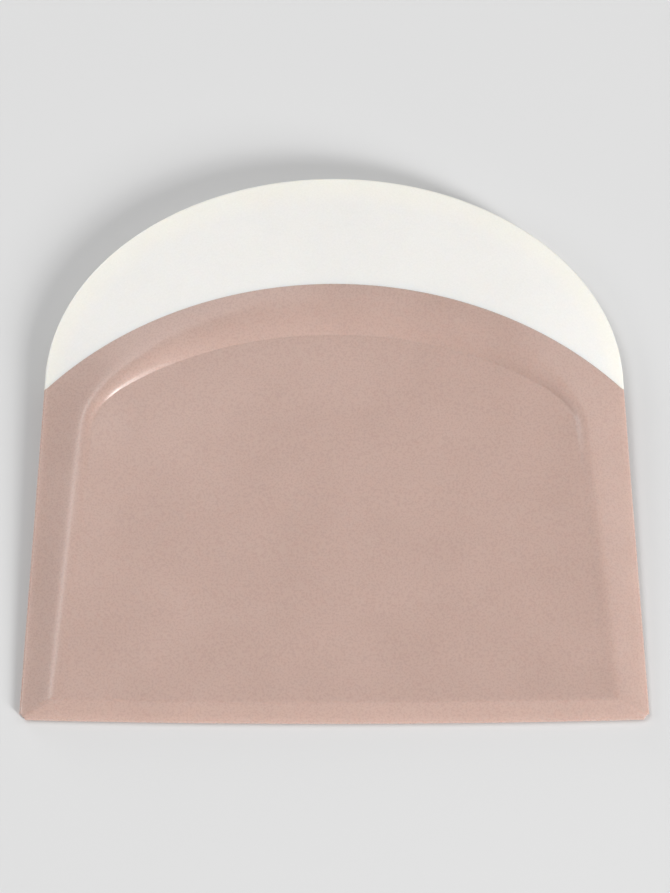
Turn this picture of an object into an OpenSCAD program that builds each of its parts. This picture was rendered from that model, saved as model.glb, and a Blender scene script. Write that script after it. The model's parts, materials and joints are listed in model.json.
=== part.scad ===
// Two-colour dough scraper: a stiff inner plate, a rose blade moulded over it, and a white lip.
// It is drawn flat: x across the blade, y from the straight edge to the dome, z out of the face.
// Heights count from the middle of its rim. rest_tilt then lays it on its flat back.

/* [Outline] */
// Width of the straight edge
edge_w = 140; // [116:0.5:168]
// Width at the shoulders, where the dome starts
shoulder_w = 135.3; // [113:0.1:163]
// Length from the straight edge to the top of the dome
blade_l = 132.5; // [110:0.5:160]
// Height of the dome above the shoulders
dome_h = 52; // [42:0.5:62]
// How far the straight edge bows out at its middle
edge_bow = 0.9; // [0:0.1:3]
// Radius of the two corners of the straight edge
corner_r = 2; // [1:0.1:4]

/* [Thickness] */
// Thickness at the rim, all the way round
edge_t = 1.4; // [1:0.1:2.4]
// Height of the flat panel above the middle of the rim
panel_rise = 3; // [2.4:0.1:3.7]
// Height of the finger ridge at its middle
ridge_rise = 5.4; // [4.4:0.1:6.6]
// Height of the ridge where it turns down the sides
ridge_end_rise = 3.8; // [3.7:0.1:5]
// Depth of the flat back below the middle of the rim, under the ridge
back_drop = 4.5; // [3.6:0.1:5.6]
// Depth of the rounding of the rim
rim_round = 0.5; // [0.2:0.1:0.8]

/* [Bevels] */
// Width of the bevel behind the straight edge
edge_bevel = 4.2; // [3.4:0.1:8]
// Width of the side bevels at the straight edge
side_bevel = 6.8; // [5:0.1:9]
// Width of the side bevels at the ridge ends
side_bevel_top = 9.8; // [7:0.1:12]

/* [Finger ridge and colour joint] */
// Depth of the white lip at its middle
lip_depth = 29.4; // [22:0.1:34]
// How far below the shoulders the colour joint meets the sides
joint_drop = 2.5; // [1:0.1:10]
// Distance from the colour joint to the ridge's crest, at the middle
crest_gap = 2.2; // [1:0.1:6]
// Width of the ridge's slope at the middle
ridge_run = 9.8; // [7:0.1:14]
// How far below the shoulders the ridge's crest ends
crest_drop = 6.2; // [3:0.1:14]
// Width of the ridge's slope at its two ends
ridge_end_run = 3.4; // [2:0.1:5]

/* [Stiffener] */
// Thickness of the inner plate
core_t = 1.6; // [1.2:0.1:2]
// How far the plate's middle lies in front of the middle of the rim
core_lift = 0.45; // [0.3:0.05:0.6]
// Distance from the straight edge and the sides to the inner plate
core_inset = 9.5; // [8:0.1:12]
// Distance from the top of the dome to the inner plate
core_dome_inset = 16.5; // [12:0.1:19]
// Radius of the inner plate's corners
core_corner_r = 8; // [4:0.5:14]
// Diameter of the holes that the silicone fills
anchor_d = 6; // [3:0.1:9]
// Spacing of those holes, both ways
anchor_pitch = 22; // [18:0.5:30]

/* [Hidden] */

ROSE = "#c2a59a";
WHITE = "#f2f0ea";
NATURAL = "#d8d3c4";

edge_half = edge_t / 2;

shoulder_y = blade_l - dome_h;
joint_y = blade_l - lip_depth;
joint_end_y = shoulder_y - joint_drop;
crest_y = joint_y - crest_gap;
crest_end_y = shoulder_y - crest_drop;
foot_y = crest_y - ridge_run;
foot_end_y = crest_end_y - ridge_end_run;

// Square middle of the rim, as a share of its thickness
rim_flat_share = 0.4;
// Flat middle of the panel, as a share of its half width, and how the dish rises beyond it
panel_flat_share = 0.4;
dish_power = 2;
// The ridge's slope rises as half a wave, which this power makes steeper towards its foot
slope_power = 0.8;
// Share of the rim, from the dome's top to the colour joint, that is the dome's own curve
dome_share = 0.94;
// Plate left between an anchor hole and the plate's edge
anchor_margin = anchor_d / 3;

// Counts of grid lines and of the steps in arcs
panel_cols = 14;
panel_rows = 14;
slope_rows = 8;
band_rows = 3;
lip_rows = 9;
core_arc_steps = 40;
hole_steps = 64;
rim_corner_angles = [0:30:90];
core_corner_angles = [-90:15:0];

// Shares at which the grid lines lie
panel_col_shares = [for (i = [0:panel_cols]) sin(90 * i / panel_cols)];
bevel_mid_shares = [0.25, 0.5];
panel_row_shares = [for (i = [0:panel_rows - 1]) i / panel_rows];
slope_row_shares = [for (i = [0:slope_rows]) i / slope_rows];
band_row_shares = [for (i = [1:band_rows]) i / band_rows];
lip_row_shares = [for (i = [0:lip_rows]) i / lip_rows];

function mix(a, b, share) = a + (b - a) * share;
function arc_r(half_w, rise) = (half_w * half_w + rise * rise) / (2 * rise);
function arc_y(x, top, half_w, rise) =
    let (r = arc_r(half_w, rise)) top - r + sqrt(max(0, r * r - x * x));

// Outline of the blade, drawn in from the rim by inset
function side_x(y) = mix(edge_w, shoulder_w, y / shoulder_y) / 2;
function bevel_w(y) = mix(side_bevel, side_bevel_top, min(1, y / crest_end_y));
function crease_x(y) = side_x(min(y, crest_end_y)) - bevel_w(y);
function bow_y(x) = edge_bow * pow(x / (edge_w / 2), 2);
function corner_y(x, inset) =
    let (r = corner_r - inset, over = max(0, x - (edge_w / 2 - corner_r)))
    r - sqrt(max(0, r * r - over * over));
function edge_y(x, inset) = bow_y(x) + inset + corner_y(x, inset);
function bevel_y(x) = bow_y(x) + edge_bevel;

tip_x = side_x(joint_end_y);
ridge_half_w = crease_x(crest_end_y);
function joint_arc_y(x) = arc_y(x, joint_y, tip_x, joint_y - joint_end_y);
function rim_point(share, inset) =
    let (turn = 90 * (1 - share / dome_share), past = (share - dome_share) / (1 - dome_share))
    share <= dome_share
        ? [(shoulder_w / 2 - inset) * cos(turn), shoulder_y + (dome_h - inset) * sin(turn)]
        : [mix(shoulder_w / 2, tip_x, past) - inset,
           mix(shoulder_y, joint_arc_y(tip_x - inset), past)];

// A column is [side, share of the panel's half width, share of the bevel]
bevel_shares = concat(
    bevel_mid_shares,
    [for (a = rim_corner_angles)
        1 - (corner_r - rim_round) * (1 - sin(a)) / (side_bevel - rim_round)]
);
half_columns = concat(
    [for (s = panel_col_shares) if (s > 0) [1, s, 0]],
    [for (t = bevel_shares) [1, 1, t]]
);
half_count = len(half_columns);
columns = concat(
    [for (i = [half_count - 1:-1:0]) [-1, half_columns[i][1], half_columns[i][2]]],
    [[1, 0, 0]],
    half_columns
);
column_count = len(columns);
last_column = column_count - 1;

function column_x(c, y, inset) =
    c[2] > 0 ? mix(crease_x(y), side_x(y) - inset, c[2]) : c[1] * crease_x(y);

// A row is [zone, share of that zone]; the zones run from the straight edge to the colour joint
BEVEL = 0;
PANEL = 1;
SLOPE = 2;
BAND = 3;
bevel_row_shares = [for (i = [len(bevel_shares) - 1:-1:0]) 1 - bevel_shares[i]];
rows = concat(
    [for (s = bevel_row_shares) [BEVEL, s]],
    [for (s = panel_row_shares) [PANEL, s]],
    [for (s = slope_row_shares) [SLOPE, s]],
    [for (s = band_row_shares) [BAND, s]]
);
row_count = len(rows);
last_row = row_count - 1;

// The foot and the crest of the ridge fan out a little as they cross the side bevels
function foot_row_y(c) =
    c[2] > 0 ? mix(foot_end_y, foot_end_y - ridge_end_run, c[2])
             : arc_y(c[1] * ridge_half_w, foot_y, ridge_half_w, foot_y - foot_end_y);
function crest_row_y(c) =
    c[2] > 0 ? mix(crest_end_y, crest_end_y - ridge_end_run, c[2])
             : arc_y(c[1] * ridge_half_w, crest_y, ridge_half_w, crest_y - crest_end_y);
function crest_point(c, inset) =
    let (y = crest_row_y(c)) [column_x(c, y, inset), y];
function joint_share(c) = crest_point(c, 0)[0] / side_x(crest_row_y(c));
function joint_point(c, inset) =
    let (x = joint_share(c) * (tip_x - inset)) [x, joint_arc_y(x)];

function flat_point(row, c, inset) =
    row[0] == BAND ? mix(crest_point(c, inset), joint_point(c, inset), row[1]) :
    let (
        low = edge_y(column_x(c, 0, inset), inset),
        crease = bevel_y(column_x(c, 0, inset)),
        foot = foot_row_y(c),
        y = row[0] == BEVEL ? mix(low, crease, row[1]) :
            row[0] == PANEL ? mix(crease, foot, row[1]) :
                              mix(foot, crest_row_y(c), row[1])
    )
    [column_x(c, y, inset), y];

// Heights of the creases and the ridge
function crease_rise(y) =
    mix(panel_rise, ridge_end_rise,
        min(1, max(0, (y - edge_bevel) / (foot_end_y - edge_bevel))));
function dish_share(s) =
    pow(max(0, s - panel_flat_share) / (1 - panel_flat_share), dish_power);
function panel_height(c, y) = mix(panel_rise, crease_rise(y), dish_share(c[1]));
function crest_height(c) =
    mix(mix(ridge_rise, ridge_end_rise, pow(c[1], dish_power)), edge_half, c[2]);
function slope_share(s) = (1 - cos(180 * pow(s, slope_power))) / 2;

// How far a point lies from the ridge's crest to the rim, as a share of that way
function way_share(c, point) =
    let (
        from = crest_point(c, rim_round),
        joint = joint_point(c, rim_round),
        rim = rim_point(joint_share(c), rim_round),
        way = norm(joint - from) + norm(rim - joint),
        gone = norm(joint - from) < norm(point - from) ?
            norm(joint - from) + norm(point - joint) : norm(point - from)
    )
    min(1, gone / way);
function outer_height(c, point) = mix(crest_height(c), edge_half, way_share(c, point));

// The back is one flat face under the panel and the ridge, and falls away to the rim like the front
edge_low = edge_y(0, rim_round);
function back_depth(y) = mix(edge_half, back_drop, (y - edge_low) / (crest_y - edge_low));
function flat_depth(c, y) = mix(back_depth(y), edge_half, c[2]);
function outer_depth(c, point) =
    mix(flat_depth(c, crest_row_y(c)), edge_half, way_share(c, point));

function blade_height(row, c, p) =
    row[0] == BAND ? outer_height(c, p) :
    c[2] == 1 || (row[0] == BEVEL && row[1] == 0) ? edge_half :
    row[0] == BEVEL ?
        min(mix(edge_half, panel_rise, row[1]), mix(panel_rise, edge_half, c[2])) :
    row[0] == PANEL ?
        mix(panel_height(c, p[1]), edge_half, c[2]) :
        mix(mix(panel_height(c, foot_row_y(c)), edge_half, c[2]), crest_height(c),
            slope_share(row[1]));

function blade_depth(row, c, p) = row[0] == BAND ? outer_depth(c, p) : flat_depth(c, p[1]);

function lift(point, side, height) = [side * point[0], point[1], height];

// Rose blade: its front and back grids, and two rings round the rim
blade_front = [for (r = rows) for (c = columns)
    let (p = flat_point(r, c, rim_round)) lift(p, c[0], blade_height(r, c, p))];
blade_back = [for (r = rows) for (c = columns)
    let (p = flat_point(r, c, rim_round)) lift(p, c[0], -blade_depth(r, c, p))];
blade_path = concat(
    [for (k = [last_row:-1:0]) [k, 0]],
    [for (i = [1:last_column]) [0, i]],
    [for (k = [1:last_row]) [k, last_column]]
);
blade_ring = [for (n = blade_path)
    lift(flat_point(rows[n[0]], columns[n[1]], 0), columns[n[1]][0], edge_half * rim_flat_share)];

// White lip: its grids, where the two end columns shrink to a point, and two rings round the rim
function lip_point(c, share) =
    mix(joint_point(c, rim_round), rim_point(joint_share(c), rim_round), share);
lip_front = [for (share = lip_row_shares) for (c = columns)
    let (p = lip_point(c, share)) lift(p, c[0], outer_height(c, p))];
lip_back = [for (share = lip_row_shares) for (c = columns)
    let (p = lip_point(c, share)) lift(p, c[0], -outer_depth(c, p))];
lip_ring = [for (c = columns)
    lift(rim_point(joint_share(c), 0), c[0], edge_half * rim_flat_share)];

function below(ring) = [for (p = ring) [p[0], p[1], -p[2]]];
function tris(a, b, c, d) = [for (t = [[a, b, c], [a, c, d]])
    if (t[0] != t[1] && t[1] != t[2] && t[2] != t[0]) t];
function flip(faces) = [for (f = faces) [f[2], f[1], f[0]]];

// Index of a grid node, with the lip's end columns gathered into their first node
function grid_at(k, i, gather) =
    (gather && (i == 0 || i == last_column) ? 0 : k) * column_count + i;
function grid_faces(last, gather) = [for (k = [0:last - 1]) for (i = [0:last_column - 1])
    let (
        a = grid_at(k, i, gather), b = grid_at(k + 1, i, gather),
        c = grid_at(k + 1, i + 1, gather), d = grid_at(k, i + 1, gather)
    )
    each (i < half_count ? tris(a, b, c, d) : tris(b, c, d, a))];
function strip_faces(upper, lower) = [for (j = [0:len(upper) - 2])
    each tris(upper[j], upper[j + 1], lower[j + 1], lower[j])];
function shifted(list, by) = [for (n = list) n + by];
function reversed(list) = [for (i = [len(list) - 1:-1:0]) list[i]];

// Closes a front grid, the back grid under it, the rim rings and the wall along the colour joint.
// rim lists the grid nodes along the rim, and joint those along the joint, left to right as seen
// from outside that wall.
function closed_faces(count, front, rim, joint) =
    let (
        ring_count = len(rim),
        upper = [for (j = [0:ring_count - 1]) 2 * count + j],
        lower = shifted(upper, ring_count),
        far = shifted(rim, count),
        ends = [ring_count - 1, 0]
    )
    concat(
        front,
        flip([for (f = front) shifted(f, count)]),
        strip_faces(rim, upper),
        strip_faces(upper, lower),
        strip_faces(lower, far),
        strip_faces(joint, shifted(joint, count)),
        tris(rim[0], upper[0], lower[0], far[0]),
        tris(upper[ends[0]], rim[ends[0]], far[ends[0]], lower[ends[0]])
    );

module blade_skin() {
    rim = [for (n = blade_path) n[0] * column_count + n[1]];
    joint = [for (i = [last_column:-1:0]) last_row * column_count + i];
    polyhedron(
        points = concat(blade_front, blade_back, blade_ring, below(blade_ring)),
        faces = closed_faces(len(blade_front), grid_faces(last_row, false), rim, joint)
    );
}

module lip_skin() {
    rim = [for (i = [last_column:-1:0]) grid_at(lip_rows, i, true)];
    joint = [for (i = [0:last_column]) grid_at(0, i, true)];
    ring = reversed(lip_ring);
    polyhedron(
        points = concat(lip_front, lip_back, ring, below(ring)),
        faces = closed_faces(len(lip_front), grid_faces(lip_rows, true), rim, joint)
    );
}

// Inner plate: a taper with round corners under a round top, and the holes that lock it in
core_top = blade_l - core_dome_inset;
core_half_low = side_x(core_inset) - core_inset;
core_half_high = side_x(shoulder_y) - core_inset;
core_rise = core_top - shoulder_y;
core_top_r = arc_r(core_half_high, core_rise);

function core_edge_x(y) = mix(core_half_low, core_half_high,
    (y - core_inset) / (shoulder_y - core_inset));
function core_outline_right() = concat(
    [for (a = core_corner_angles)
        [core_edge_x(core_inset + core_corner_r) - core_corner_r * (1 - cos(a)),
         core_inset + core_corner_r * (1 + sin(a))]],
    [for (i = [0:core_arc_steps])
        let (x = core_half_high * (1 - i / core_arc_steps))
        [x, arc_y(x, core_top, core_half_high, core_rise)]]
);
function core_outline() = let (right = core_outline_right())
    concat(right, [for (i = [len(right) - 2:-1:0]) [-right[i][0], right[i][1]]]);

anchor_r = anchor_d / 2;
anchor_keep = anchor_r + anchor_margin;
function anchor_fits(x, y) =
    abs(x) + anchor_keep < core_edge_x(y) &&
    norm([x, y - (core_top - core_top_r)]) + anchor_keep < core_top_r &&
    abs(y - joint_arc_y(abs(x))) > anchor_keep;
anchor_columns = floor(core_half_low / anchor_pitch);
anchor_rows = floor((core_top - core_inset) / anchor_pitch);
anchors = [for (j = [0:anchor_rows]) for (i = [-anchor_columns:anchor_columns])
    let (x = i * anchor_pitch, y = core_inset + 2 * anchor_keep + j * anchor_pitch)
    if (anchor_fits(x, y)) [x, y]];

module core_plate() {
    translate([0, 0, core_lift]) difference() {
        translate([0, 0, -core_t / 2])
            linear_extrude(core_t)
                polygon(core_outline());
        for (a = anchors)
            translate([a[0], a[1], -core_t])
                cylinder(h = 2 * core_t, r = anchor_r, $fn = hole_steps);
    }
}

// Rest pose: tipped until the flat back is level
rest_tilt = atan((back_drop - edge_half) / (crest_y - edge_low));
function rest_y(p) = p[1] * cos(rest_tilt) - p[2] * sin(rest_tilt);
function rest_z(p) = p[1] * sin(rest_tilt) + p[2] * cos(rest_tilt);
all_points = concat(blade_front, blade_back, blade_ring, below(blade_ring),
    lip_front, lip_back, lip_ring, below(lip_ring));
rest_mid_y = (min([for (p = all_points) rest_y(p)]) + max([for (p = all_points) rest_y(p)])) / 2;
rest_low_z = min([for (p = all_points) rest_z(p)]);

module at_rest() {
    translate([0, -rest_mid_y, -rest_low_z])
        rotate([rest_tilt, 0, 0])
            children();
}

// Stiff nylon plate, hidden inside both colours
module stiffener_core() {
    color(NATURAL) at_rest() core_plate();
}

// Rose silicone: thin bevelled edges, the dished panel, the finger ridge and the flat back
module rose_blade() {
    color(ROSE) at_rest() difference() {
        blade_skin();
        core_plate();
    }
}

// White silicone lip, which meets the rose along an arc
module white_lip() {
    color(WHITE) at_rest() difference() {
        lip_skin();
        core_plate();
    }
}

stiffener_core();
rose_blade();
white_lip();
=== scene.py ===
"""Looks for the dough scraper: a rose silicone blade and a white silicone lip over a stiff plate.

The blade is shaped in the flat, in millimetres: x across it, y from its straight edge to the top of
its dome, h out of its face from the middle of the rim. laid() then puts it where the CAD lies.
"""

import json
import math

import bpy
import numpy as np
from mathutils import Matrix, Vector


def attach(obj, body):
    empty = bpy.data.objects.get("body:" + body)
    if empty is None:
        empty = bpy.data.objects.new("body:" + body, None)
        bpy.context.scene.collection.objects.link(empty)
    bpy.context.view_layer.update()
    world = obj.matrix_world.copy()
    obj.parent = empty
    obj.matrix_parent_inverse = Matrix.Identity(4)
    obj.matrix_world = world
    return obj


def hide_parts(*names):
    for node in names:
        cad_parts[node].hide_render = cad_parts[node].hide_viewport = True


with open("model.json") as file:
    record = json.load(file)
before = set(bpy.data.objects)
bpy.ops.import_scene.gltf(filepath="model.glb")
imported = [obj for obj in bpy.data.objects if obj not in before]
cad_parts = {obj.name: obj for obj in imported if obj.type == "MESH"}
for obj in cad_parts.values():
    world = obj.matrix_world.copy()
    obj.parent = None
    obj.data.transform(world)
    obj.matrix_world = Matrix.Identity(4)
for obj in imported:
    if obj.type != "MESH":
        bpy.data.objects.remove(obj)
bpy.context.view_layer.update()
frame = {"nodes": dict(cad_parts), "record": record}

MM = 0.001

# The face leans back by this much, because the scraper lies on its flat back
FACE_AXIS = next(m["axis"] for m in frame["record"]["mounts"] if m["name"] == "front_panel")
LEAN = math.atan2(-FACE_AXIS[1], FACE_AXIS[2])

# Outline
EDGE_W = 140.0
BLADE_L = 132.5
SHOULDER_W = 135.3
DOME_H = 52.0
EDGE_BOW = 0.9
CORNER_R = 1.3
EDGE_T = 1.4
RIM_ROUND = 0.5

# Bevels, panel, ridge and colour joint
EDGE_BEVEL = 4.2
SIDE_BEVEL = 6.8
SIDE_BEVEL_TOP = 9.8
PANEL_RISE = 3.0
RIDGE_RISE = 5.4
RIDGE_END_RISE = 3.8
BACK_DROP = 4.5
LIP_DEPTH = 29.4
JOINT_DROP = 2.5
CREST_GAP = 2.2
RIDGE_RUN = 9.8
CREST_DROP = 6.2
RIDGE_END_RUN = 3.4

# The ridge's wall: its width at the crest's ends, how far they round into the side creases, how
# late the crest falls, and how the wall fades out down the sides
WALL_END_W = 2.5
CREST_TURN = 6.0
CREST_POWER = 6
WALL_POWER = 0.5
SIDE_WALL_SHARE = 0.75
SIDE_WALL_FADE = 18.0

# How the surface runs between those lines
PANEL_FLAT_SHARE = 0.4
DOME_SHARE = 0.94
CREASE_SOFT = 0.25
CREASE_ROUND = 0.35

# Grid lines: across, from the straight edge up to the joint, from there to the dome, round the rim
PANEL_COLS = 160
BEVEL_COLS = 18
BEVEL_ROWS = 18
PANEL_ROWS = 72
SLOPE_ROWS = 44
BAND_ROWS = 14
LIP_ROWS = 56
RIM_CUTS = 9
GATHER = 0.8
LINE_STEPS = 50

# Slack for rounding: in the grid's own numbers, for what lies beside the outline, for merging
# points, and against dividing by nothing
GRID_SLACK = 1e-6
BESIDE_SLACK = 0.01
MERGE_WITHIN = 0.01
NOT_ZERO = 1e-9

# Corners flatter than this are shaded smooth, in degrees
SMOOTH_BELOW = 40

# Rounding the creases takes about this off the ridge, so it is added first
CREASE_LIFT = CREASE_ROUND / 3

EDGE_HALF = EDGE_T / 2
SHOULDER_Y = BLADE_L - DOME_H
JOINT_Y = BLADE_L - LIP_DEPTH
JOINT_END_Y = SHOULDER_Y - JOINT_DROP
CREST_Y = JOINT_Y - CREST_GAP
CREST_END_Y = SHOULDER_Y - CREST_DROP
FOOT_Y = CREST_Y - RIDGE_RUN
FOOT_END_Y = CREST_END_Y - RIDGE_END_RUN


def mix(a, b, share):
    return a + (b - a) * share


def smooth_min(a, b, soft):
    """The lower of two heights, with the corner between them rounded over about soft."""
    return (a + b - np.sqrt((a - b) ** 2 + soft**2)) / 2


def half_wave(share):
    return (1 - np.cos(share * math.pi)) / 2


def laid(x, y, h):
    """Points of the flat blade, in millimetres, to metres where the CAD lies."""
    across, up = math.cos(LEAN), math.sin(LEAN)
    rest_y = y * across - h * up - BLADE_L / 2 * across
    rest_z = y * up + h * across + EDGE_HALF * across - RIM_ROUND * up
    return np.stack([x, rest_y, rest_z], axis=-1) * MM


def arc_y(x, top, half_w, rise):
    radius = (half_w**2 + rise**2) / (2 * rise)
    return top - radius + np.sqrt(np.maximum(0, radius**2 - x**2))


def side_x(y):
    return mix(EDGE_W, SHOULDER_W, y / SHOULDER_Y) / 2


def bevel_w(y):
    return mix(SIDE_BEVEL, SIDE_BEVEL_TOP, np.minimum(1, y / CREST_END_Y))


def crease_x(y):
    return side_x(np.minimum(y, CREST_END_Y)) - bevel_w(y)


def bow_y(x):
    return EDGE_BOW * (x / (EDGE_W / 2)) ** 2


def edge_y(x, inset):
    """The straight edge, with its slight bow and its two round corners."""
    radius = CORNER_R - inset
    over = np.maximum(0, np.abs(x) - (EDGE_W / 2 - CORNER_R))
    return bow_y(x) + inset + radius - np.sqrt(np.maximum(0, radius**2 - over**2))


TIP_X = side_x(JOINT_END_Y)
RIDGE_HALF_W = crease_x(CREST_END_Y)


def joint_y(x):
    return arc_y(x, JOINT_Y, TIP_X, JOINT_Y - JOINT_END_Y)


def crest_y(x):
    return arc_y(x, CREST_Y, RIDGE_HALF_W, CREST_Y - CREST_END_Y)


def rim_point(share, inset):
    """Point of the rim above the joint, from the dome's top (0) to where the joint ends (1)."""
    turn = math.pi / 2 * (1 - share / DOME_SHARE)
    past = np.clip((share - DOME_SHARE) / (1 - DOME_SHARE), 0, 1)
    on_dome = share <= DOME_SHARE
    x = np.where(
        on_dome, (SHOULDER_W / 2 - inset) * np.cos(turn), mix(SHOULDER_W / 2, TIP_X, past) - inset
    )
    y = np.where(
        on_dome,
        SHOULDER_Y + (DOME_H - inset) * np.sin(turn),
        mix(SHOULDER_Y, joint_y(TIP_X - inset), past),
    )
    return x, y


# Heights are found from two lines of the right half, both drawn from the straight edge upwards
def ridge_line():
    """The side crease and the ridge's crest, as points of one line with a round turn between."""
    turn_y = CREST_END_Y - CREST_TURN
    low = np.array([[crease_x(0), 0.0], [crease_x(turn_y), turn_y]])
    x = np.linspace(RIDGE_HALF_W - CREST_TURN, 0, LINE_STEPS)
    crest = np.stack([x, crest_y(x)], axis=-1)
    t = np.linspace(0, 1, LINE_STEPS)[1:-1, None]
    corner = np.array([RIDGE_HALF_W, CREST_END_Y])
    turn = (1 - t) ** 2 * low[-1] + 2 * t * (1 - t) * corner + t**2 * crest[0]
    return np.concatenate([low, turn, crest])


def rim_line():
    """The side and the dome, at the inner side of the rim's rounding."""
    turn = np.linspace(0, math.pi / 2, 2 * LINE_STEPS)
    dome_x = (SHOULDER_W / 2 - RIM_ROUND) * np.cos(turn)
    dome_y = SHOULDER_Y + (DOME_H - RIM_ROUND) * np.sin(turn)
    return np.concatenate([[[side_x(0) - RIM_ROUND, 0.0]], np.stack([dome_x, dome_y], axis=-1)])


def nearest(line, x, y):
    """Distance to the line, over 0 to its left, and the line's nearest point, as x and y."""
    start, step = line[:-1], np.diff(line, axis=0)
    to_x, to_y = x[:, None] - start[:, 0], y[:, None] - start[:, 1]
    along = np.clip((to_x * step[:, 0] + to_y * step[:, 1]) / (step**2).sum(axis=1), 0, 1)
    best = np.hypot(to_x - along * step[:, 0], to_y - along * step[:, 1]).argmin(axis=1)
    pick = np.arange(len(best)), best
    near = start[best] + along[pick][:, None] * step[best]
    left = step[best, 0] * to_y[pick] - step[best, 1] * to_x[pick]
    return np.sign(left) * np.hypot(x - near[:, 0], y - near[:, 1]), near[:, 0], near[:, 1]


def line_rise(x, y):
    """Height along the ridge line: it climbs the side, and more so from there to the middle."""
    crest = mix(RIDGE_RISE, RIDGE_END_RISE, np.minimum(1, x / RIDGE_HALF_W) ** CREST_POWER)
    below = np.clip((CREST_END_Y - y) / (CREST_END_Y - EDGE_BEVEL), 0, 1)
    return crest - (RIDGE_END_RISE - PANEL_RISE) * below


def panel_height(x, y):
    """Flat in the middle, and dished up to the side creases."""
    below = np.clip((CREST_END_Y - y) / (CREST_END_Y - EDGE_BEVEL), 0, 1)
    wall = SIDE_WALL_SHARE * half_wave(np.clip(1 - (CREST_END_Y - y) / SIDE_WALL_FADE, 0, 1))
    off_flat = np.clip((x / crease_x(y) - PANEL_FLAT_SHARE) / (1 - PANEL_FLAT_SHARE), 0, 1)
    return PANEL_RISE + (RIDGE_END_RISE - PANEL_RISE) * (1 - below) * (1 - wall) * off_flat**2


def back_depth(y):
    low = edge_y(np.float64(0), RIM_ROUND)
    return mix(EDGE_HALF, BACK_DROP, (y - low) / (CREST_Y - low))


def heights(x, y):
    """Front height and back depth of the whole blade, both colours."""
    inside, ridge_x, ridge_y = nearest(RIDGE_LINE, x, y)
    to_rim = np.abs(nearest(RIM_LINE, x, y)[0])
    fall = -inside / np.maximum(to_rim - inside, NOT_ZERO)
    top = line_rise(ridge_x, ridge_y) + CREASE_LIFT
    outer = mix(top, EDGE_HALF, fall)

    wall_w = mix(RIDGE_RUN, WALL_END_W, np.minimum(1, ridge_x / RIDGE_HALF_W) ** 2)
    climbed = half_wave(np.clip(1 - inside / wall_w, 0, 1) ** WALL_POWER)
    inner = panel_height(x, y) + (top - panel_height(ridge_x, ridge_y)) * climbed
    front = smooth_min(inner, outer, CREASE_ROUND)

    low = edge_y(x, RIM_ROUND)
    edge_plane = mix(EDGE_HALF, PANEL_RISE, (y - low) / (bow_y(x) + EDGE_BEVEL - low))
    front = smooth_min(front, edge_plane, CREASE_SOFT)
    return front, mix(back_depth(np.where(inside > 0, y, ridge_y)), EDGE_HALF, np.maximum(0, fall))


# Grid columns: a share of the panel's half width, and past it a share of the bevel
def column_x(across, out, y, inset):
    return np.where(out > 0, mix(crease_x(y), side_x(y) - inset, out), across * crease_x(y))


def foot_row_y(across, out):
    """The grid's row at the ridge's foot, which fans out a little over the bevels."""
    arc = arc_y(across * RIDGE_HALF_W, FOOT_Y, RIDGE_HALF_W, FOOT_Y - FOOT_END_Y)
    return np.where(out > 0, mix(FOOT_END_Y, FOOT_END_Y - RIDGE_END_RUN, out), arc)


def crest_point(across, out, inset):
    arc = crest_y(across * RIDGE_HALF_W)
    y = np.where(out > 0, mix(CREST_END_Y, CREST_END_Y - RIDGE_END_RUN, out), arc)
    return column_x(across, out, y, inset), y


def joint_share(across, out):
    x, y = crest_point(across, out, 0)
    return x / side_x(y)


def joint_point(across, out, inset):
    x = joint_share(across, out) * (TIP_X - inset)
    return x, joint_y(x)


ZONES = (BEVEL_ROWS, PANEL_ROWS, SLOPE_ROWS, BAND_ROWS)
BEVEL, PANEL, SLOPE, BAND = range(len(ZONES))
RIDGE_LINE = ridge_line()
RIM_LINE = rim_line()


def gathered(share):
    """Even shares moved towards both ends of a stretch, where the surface turns."""
    return mix(share, half_wave(share), GATHER)


def to_column(u):
    """Grid lines across: u runs from -1 to 1, and its two ends are the side bevels."""
    half = PANEL_COLS / 2 + BEVEL_COLS
    steps = np.abs(u) * half
    across = np.minimum(1, steps / (PANEL_COLS / 2))
    out = np.maximum(0, steps - PANEL_COLS / 2) / BEVEL_COLS
    return np.sin(across * math.pi / 2), gathered(out)


def blade_places(u, v):
    """Flat places of the rose blade's grid, whose u and v run from -1 to 1."""
    across, out = to_column(u)
    steps = (v + 1) / 2 * sum(ZONES)
    starts = np.cumsum((0,) + ZONES)
    zone = np.clip(np.searchsorted(starts, steps + GRID_SLACK, side="right") - 1, 0, BAND)
    share = gathered(np.clip((steps - starts[zone]) / np.array(ZONES)[zone], 0, 1))

    base_x = column_x(across, out, 0, RIM_ROUND)
    low, crease = edge_y(base_x, RIM_ROUND), EDGE_BEVEL + bow_y(base_x)
    foot = foot_row_y(across, out)
    crest_x, crest_top = crest_point(across, out, RIM_ROUND)
    y = np.select(
        [zone == BEVEL, zone == PANEL],
        [mix(low, crease, share), mix(crease, foot, share)],
        mix(foot, crest_top, share),
    )
    x = column_x(across, out, y, RIM_ROUND)
    join_x, join_y = joint_point(across, out, RIM_ROUND)
    x = np.where(zone == BAND, mix(crest_x, join_x, share), x)
    return x, np.where(zone == BAND, mix(crest_top, join_y, share), y)


def lip_places(u, v):
    """The same for the white lip, whose rows run from the joint to the rim."""
    across, out = to_column(u)
    share = (v + 1) / 2
    join_x, join_y = joint_point(across, out, RIM_ROUND)
    rim_x, rim_y = rim_point(joint_share(across, out), RIM_ROUND)
    return mix(join_x, rim_x, share), mix(join_y, rim_y, share)


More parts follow.
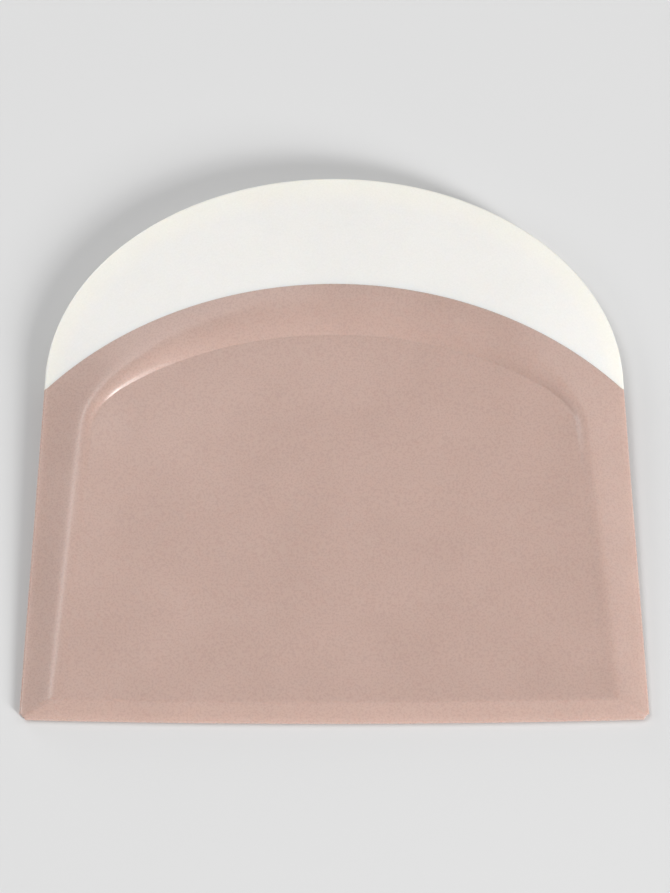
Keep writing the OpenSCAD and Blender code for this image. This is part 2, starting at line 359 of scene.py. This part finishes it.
def outward(x, y):
    """Direction out of the outline, for points beside it with x to the right."""
    dome = y > SHOULDER_Y
    edge_line = edge_y(x, RIM_ROUND)
    side = (x > side_x(y) - RIM_ROUND - BESIDE_SLACK) & ~dome
    corner_x, corner_y = EDGE_W / 2 - CORNER_R, CORNER_R + EDGE_BOW
    at_corner = (x > corner_x) & (y < corner_y)
    nx = np.where(dome, x / (SHOULDER_W / 2) ** 2, np.where(side, 1.0, 0.0))
    ny = np.where(dome, (y - SHOULDER_Y) / DOME_H**2, np.where(side, 0.0, -1.0))
    nx = np.where(at_corner, x - corner_x, nx)
    ny = np.where(at_corner, y - corner_y, ny)
    size = np.maximum(np.hypot(nx, ny), NOT_ZERO)
    beside = dome | side | (y < edge_line + BESIDE_SLACK)
    return nx / size, ny / size, beside


def blade_piece(name, rows, places, joint_v):
    """A grid made a closed slab with a rounded rim, at its flat places. joint_v is its joint."""
    bpy.ops.object.select_all(action="DESELECT")
    bpy.ops.mesh.primitive_grid_add(
        x_subdivisions=PANEL_COLS + 2 * BEVEL_COLS, y_subdivisions=rows, size=2
    )
    piece = bpy.context.object
    piece.name = name
    bpy.ops.object.mode_set(mode="EDIT")
    bpy.ops.mesh.select_all(action="SELECT")
    bpy.ops.mesh.extrude_region_move(TRANSFORM_OT_translate={"value": (0, 0, 1)})
    bpy.ops.mesh.select_all(action="DESELECT")
    bpy.ops.object.mode_set(mode="OBJECT")
    mesh = piece.data
    place = np.empty(len(mesh.vertices) * 3)
    mesh.vertices.foreach_get("co", place)
    height = place[2::3]
    ends = np.empty(len(mesh.edges) * 2, dtype=np.int32)
    mesh.edges.foreach_get("vertices", ends)
    ends = ends.reshape(-1, 2)
    bpy.context.tool_settings.mesh_select_mode = (False, True, False)
    mesh.edges.foreach_set("select", height[ends[:, 0]] != height[ends[:, 1]])
    bpy.ops.object.mode_set(mode="EDIT")
    bpy.ops.mesh.subdivide(number_cuts=RIM_CUTS)
    bpy.ops.object.mode_set(mode="OBJECT")

    place = np.empty(len(mesh.vertices) * 3)
    mesh.vertices.foreach_get("co", place)
    u, v, w = place.reshape(-1, 3).T
    x, y = places(u, v)
    front, depth = heights(x, y)
    nx, ny, beside = outward(x, y)
    at_end = (np.abs(u) > 1 - GRID_SLACK) | (np.abs(v - joint_v) > 2 - GRID_SLACK)
    on_rim = at_end & beside
    turn = (w - 0.5) * math.pi
    bulge = np.where(on_rim, RIM_ROUND * np.cos(turn), 0)
    h = np.where(on_rim, EDGE_HALF * np.sin(turn), mix(-depth, front, w))
    points = laid(np.sign(u) * (x + nx * bulge), y + ny * bulge, h)
    mesh.vertices.foreach_set("co", points.ravel())
    thickness = mesh.attributes.new("thickness", "FLOAT", "POINT")
    thickness.data.foreach_set("value", front + depth)

    bpy.ops.object.mode_set(mode="EDIT")
    bpy.ops.mesh.select_all(action="SELECT")
    bpy.ops.mesh.remove_doubles(threshold=MERGE_WITHIN * MM)
    bpy.ops.mesh.normals_make_consistent(inside=False)
    bpy.ops.object.mode_set(mode="OBJECT")
    bpy.ops.object.shade_smooth_by_angle(angle=math.radians(SMOOTH_BELOW))
    return piece


def linear(hex_colour):
    """An sRGB hex colour as linear RGBA."""
    parts = [int(hex_colour[i : i + 2], 16) / 255 for i in (1, 3, 5)]
    return [c / 12.92 if c <= 0.04045 else ((c + 0.055) / 1.055) ** 2.4 for c in parts] + [1]


def add_node(tree, kind, settings=None, **links):
    """Adds a node. settings are its own properties or its sockets' values, links its inputs."""
    node = tree.nodes.new(kind)
    for key, value in (settings or {}).items():
        if isinstance(key, str) and hasattr(node, key):
            setattr(node, key, value)
        else:
            node.inputs[key].default_value = value
    for key, source in links.items():
        tree.links.new(source, node.inputs[key.replace("_", " ")])
    return node


def new_material(name):
    material = bpy.data.materials.new(name)
    material.use_nodes = True
    tree = material.node_tree
    return material, tree, tree.nodes["Principled BSDF"]


def noise(tree, size_mm, detail, roughness=0.5):
    """Noise whose patches are about size_mm across, fixed to the object."""
    coords = add_node(tree, "ShaderNodeTexCoord").outputs["Object"]
    settings = {"Scale": 1 / (size_mm * MM), "Detail": detail, "Roughness": roughness}
    return add_node(tree, "ShaderNodeTexNoise", settings, Vector=coords).outputs["Fac"]


def ramp(tree, share, stops):
    """A colour ramp through the stops, which are pairs of place and hex colour."""
    node = add_node(tree, "ShaderNodeValToRGB", Fac=share)
    elements = node.color_ramp.elements
    while len(elements) < len(stops):
        elements.new(1)
    for element, (place, colour) in zip(elements, stops):
        element.position = place
        element.color = linear(colour)
    return node.outputs["Color"]


def spread(tree, value, low, high, to_low, to_high):
    """A value between low and high, turned into one between to_low and to_high."""
    settings = {"From Min": low, "From Max": high, "To Min": to_low, "To Max": to_high}
    return add_node(tree, "ShaderNodeMapRange", settings, Value=value).outputs["Result"]


def toned(tree, top, under):
    """Two colours multiplied."""
    node = add_node(tree, "ShaderNodeMix", {"data_type": "RGBA", "blend_type": "MULTIPLY"})
    node.inputs["Factor"].default_value = 1
    colours = [socket for socket in node.inputs if socket.type == "RGBA"]
    tree.links.new(top, colours[0])
    tree.links.new(under, colours[1])
    return next(socket for socket in node.outputs if socket.type == "RGBA")


# Silicone: its refraction, how much light goes into it, its uneven pigment and the mould's grain.
# Real mould grain is about 0.1 mm, too fine to show at this size, so it is drawn coarser.
SILICONE_IOR = 1.43
SILICONE_BLEED = 0.35
CLOUD_MM = 14.0
CLOUD_DETAIL = 3
GRAIN_MM = 0.45
GRAIN_DETAIL = 2
GRAIN_BREAKUP = 0.6
BUMP_MM = 0.02
BUMP_STRENGTH = 0.35

# Nylon
NYLON_IOR = 1.53
NYLON_CLOUD_MM = 9.0
NYLON_CLOUD_DETAIL = 4
NYLON_GLOSS = (0.4, 0.5)

# Where most of a noise's values lie
NOISE_RANGE = (0.3, 0.7)


def silicone(name, body, specks, painted_rim_glow, glow_until_mm, gloss, depth_mm, bleed):
    """Moulded silicone: body and specks are colour ramps, painted_rim_glow is one over the local
    thickness.

    Where the silicone is thinner than glow_until_mm, its colour is lightened towards the
    painted_rim_glow
    ramp: a painted glow for light shining through thin edges. Light spreads depth_mm under the
    surface, by bleed, and gloss is the range of the roughness.
    """
    material, tree, shader = new_material(name)
    cloud = noise(tree, CLOUD_MM, CLOUD_DETAIL)
    grain = noise(tree, GRAIN_MM, GRAIN_DETAIL, GRAIN_BREAKUP)
    thickness = add_node(tree, "ShaderNodeAttribute", {"attribute_name": "thickness"})
    # Painted glow: thin edges are lightened in colour, standing in for light shining through them
    rim_glow = ramp(tree, spread(tree, thickness.outputs["Fac"], EDGE_T, glow_until_mm, 0, 1), painted_rim_glow)
    colour = toned(tree, ramp(tree, cloud, body), rim_glow)
    colour = toned(tree, colour, ramp(tree, grain, specks))
    tree.links.new(colour, shader.inputs["Base Color"])
    tree.links.new(spread(tree, grain, *NOISE_RANGE, *gloss), shader.inputs["Roughness"])
    settings = {"Strength": BUMP_STRENGTH, "Distance": BUMP_MM * MM}
    bump = add_node(tree, "ShaderNodeBump", settings, Height=grain)
    tree.links.new(bump.outputs["Normal"], shader.inputs["Normal"])
    shader.inputs["IOR"].default_value = SILICONE_IOR
    shader.inputs["Subsurface Weight"].default_value = SILICONE_BLEED
    shader.inputs["Subsurface Scale"].default_value = depth_mm * MM
    shader.inputs["Subsurface Radius"].default_value = bleed
    return material


# Camera: looks down at 70 degrees, from in front of the straight edge
CAMERA_DOWN = 70.0
CAMERA_PLACE = (0.00019, -0.16019, 0.43868)
CAMERA_ROLL = -0.035
LENS_MM = 80.69

camera = bpy.data.objects.new("camera", bpy.data.cameras.new("camera"))
bpy.context.scene.collection.objects.link(camera)
camera.data.lens = LENS_MM
camera.location = CAMERA_PLACE
camera.rotation_euler = (
    Matrix.Rotation(math.radians(90 - CAMERA_DOWN), 3, "X")
    @ Matrix.Rotation(math.radians(CAMERA_ROLL), 3, "Z")
).to_euler()
bpy.context.scene.camera = camera
bpy.context.scene.view_settings.view_transform = "Standard"

# Dusty pink pigment, a little uneven, with a satin skin that shows soft highlights on the ridge;
# the thin rim is painted a little lighter, a painted glow for light shining through it
rose = silicone(
    "rose_silicone_moulded",
    body=[(0.35, "#c8aca1"), (0.65, "#ccb0a5")],
    specks=[(0.3, "#f6f4f3"), (0.7, "#ffffff")],
    # Painted glow for light shining through the thin rim
    painted_rim_glow=[(0.0, "#ffffff"), (0.35, "#f8f7f6"), (1.0, "#f6f6f6")],
    glow_until_mm=3.2,
    gloss=(0.25, 0.31),
    depth_mm=1.0,
    bleed=(1.0, 0.5, 0.36),
)

# Clean white, more matt than the rose, with a painted warm glow where it thins out to the rim
white = silicone(
    "white_silicone_moulded",
    body=[(0.35, "#f6f4f0"), (0.65, "#f8f6f2")],
    specks=[(0.3, "#fafafa"), (0.7, "#ffffff")],
    # Painted warm glow for light shining through the thin rim
    painted_rim_glow=[(0.0, "#fcfbf6"), (0.5, "#fbfaf7"), (1.0, "#f8f8f8")],
    glow_until_mm=3.4,
    gloss=(0.36, 0.4),
    depth_mm=2.6,
    bleed=(1.0, 0.8, 0.6),
)

# Undyed nylon with the cloudy flow of moulding and a satin, slightly pitted skin
nylon, tree, shader = new_material("natural_nylon_moulded")
flow = noise(tree, NYLON_CLOUD_MM, NYLON_CLOUD_DETAIL)
tree.links.new(ramp(tree, flow, [(0.3, "#d2ccbb"), (0.7, "#dfdacd")]), shader.inputs["Base Color"])
pits = noise(tree, GRAIN_MM, GRAIN_DETAIL)
tree.links.new(spread(tree, pits, *NOISE_RANGE, *NYLON_GLOSS), shader.inputs["Roughness"])
shader.inputs["IOR"].default_value = NYLON_IOR

blade = blade_piece("rose_blade_skin", sum(ZONES), blade_places, 1)
blade.data.materials.append(rose)
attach(blade, "root")
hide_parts("rose_blade")

lip = blade_piece("white_lip_skin", LIP_ROWS, lip_places, -1)
lip.data.materials.append(white)
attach(lip, "root")
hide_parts("white_lip")

frame["nodes"]["stiffener_core"].material_slots[0].material = nylon

# Floor and light
FLOOR_SIZE = 6
FLOOR_ROUGHNESS = 0.9
FLOOR_SPECULAR = 0.1

bpy.ops.object.select_all(action="DESELECT")
bpy.ops.mesh.primitive_plane_add(size=FLOOR_SIZE)
floor = bpy.context.object
floor.name = "floor"
floor_paint, tree, shader = new_material("floor_matt_grey")
shader.inputs["Base Color"].default_value = linear("#dadada")
shader.inputs["Roughness"].default_value = FLOOR_ROUGHNESS
shader.inputs["Specular IOR Level"].default_value = FLOOR_SPECULAR
floor.data.materials.append(floor_paint)


def softbox(name, azimuth, elevation, share, size):
    """A round soft lamp that looks at the origin. share is its part of the floor's light."""
    light = bpy.data.objects.new(name, bpy.data.lights.new(name, "AREA"))
    bpy.context.scene.collection.objects.link(light)
    light.data.shape = "DISK"
    light.data.size = size
    light.data.energy = share * (math.pi * LAMP_AWAY) ** 2 / math.sin(math.radians(elevation))
    raised = Matrix.Rotation(math.radians(-elevation), 3, "Y")
    way = Matrix.Rotation(math.radians(azimuth), 3, "Z") @ raised @ Vector((1, 0, 0))
    light.location = way * LAMP_AWAY
    light.rotation_euler = way.to_track_quat("Z", "Y").to_euler()
    return light


# Lamps: name, azimuth from +X towards +Y, elevation, share of the floor's light, diameter
LAMP_AWAY = 2.0
LAMPS = (
    ("key_low_softbox", -42, 18, 0.194, 0.5),
    ("key_softbox", -46, 27, 0.222, 0.5),
    ("right_softbox", 18, 32, 0.038, 0.8),
    ("right_back_softbox", 45, 45, 0.052, 0.8),
    ("back_high_softbox", 120, 58, 0.172, 1.0),
    ("left_back_softbox", 130, 10, 0.054, 0.8),
    ("left_high_softbox", 165, 58, 0.193, 0.8),
    ("left_softbox", 180, 28, 0.071, 0.8),
)
for lamp in LAMPS:
    softbox(*lamp)
AMBIENT = 0.1
world = bpy.data.worlds.new("studio")
bpy.context.scene.world = world
world.use_nodes = True
world.node_tree.nodes["Background"].inputs["Color"].default_value = (1, 1, 1, 1)
world.node_tree.nodes["Background"].inputs["Strength"].default_value = AMBIENT
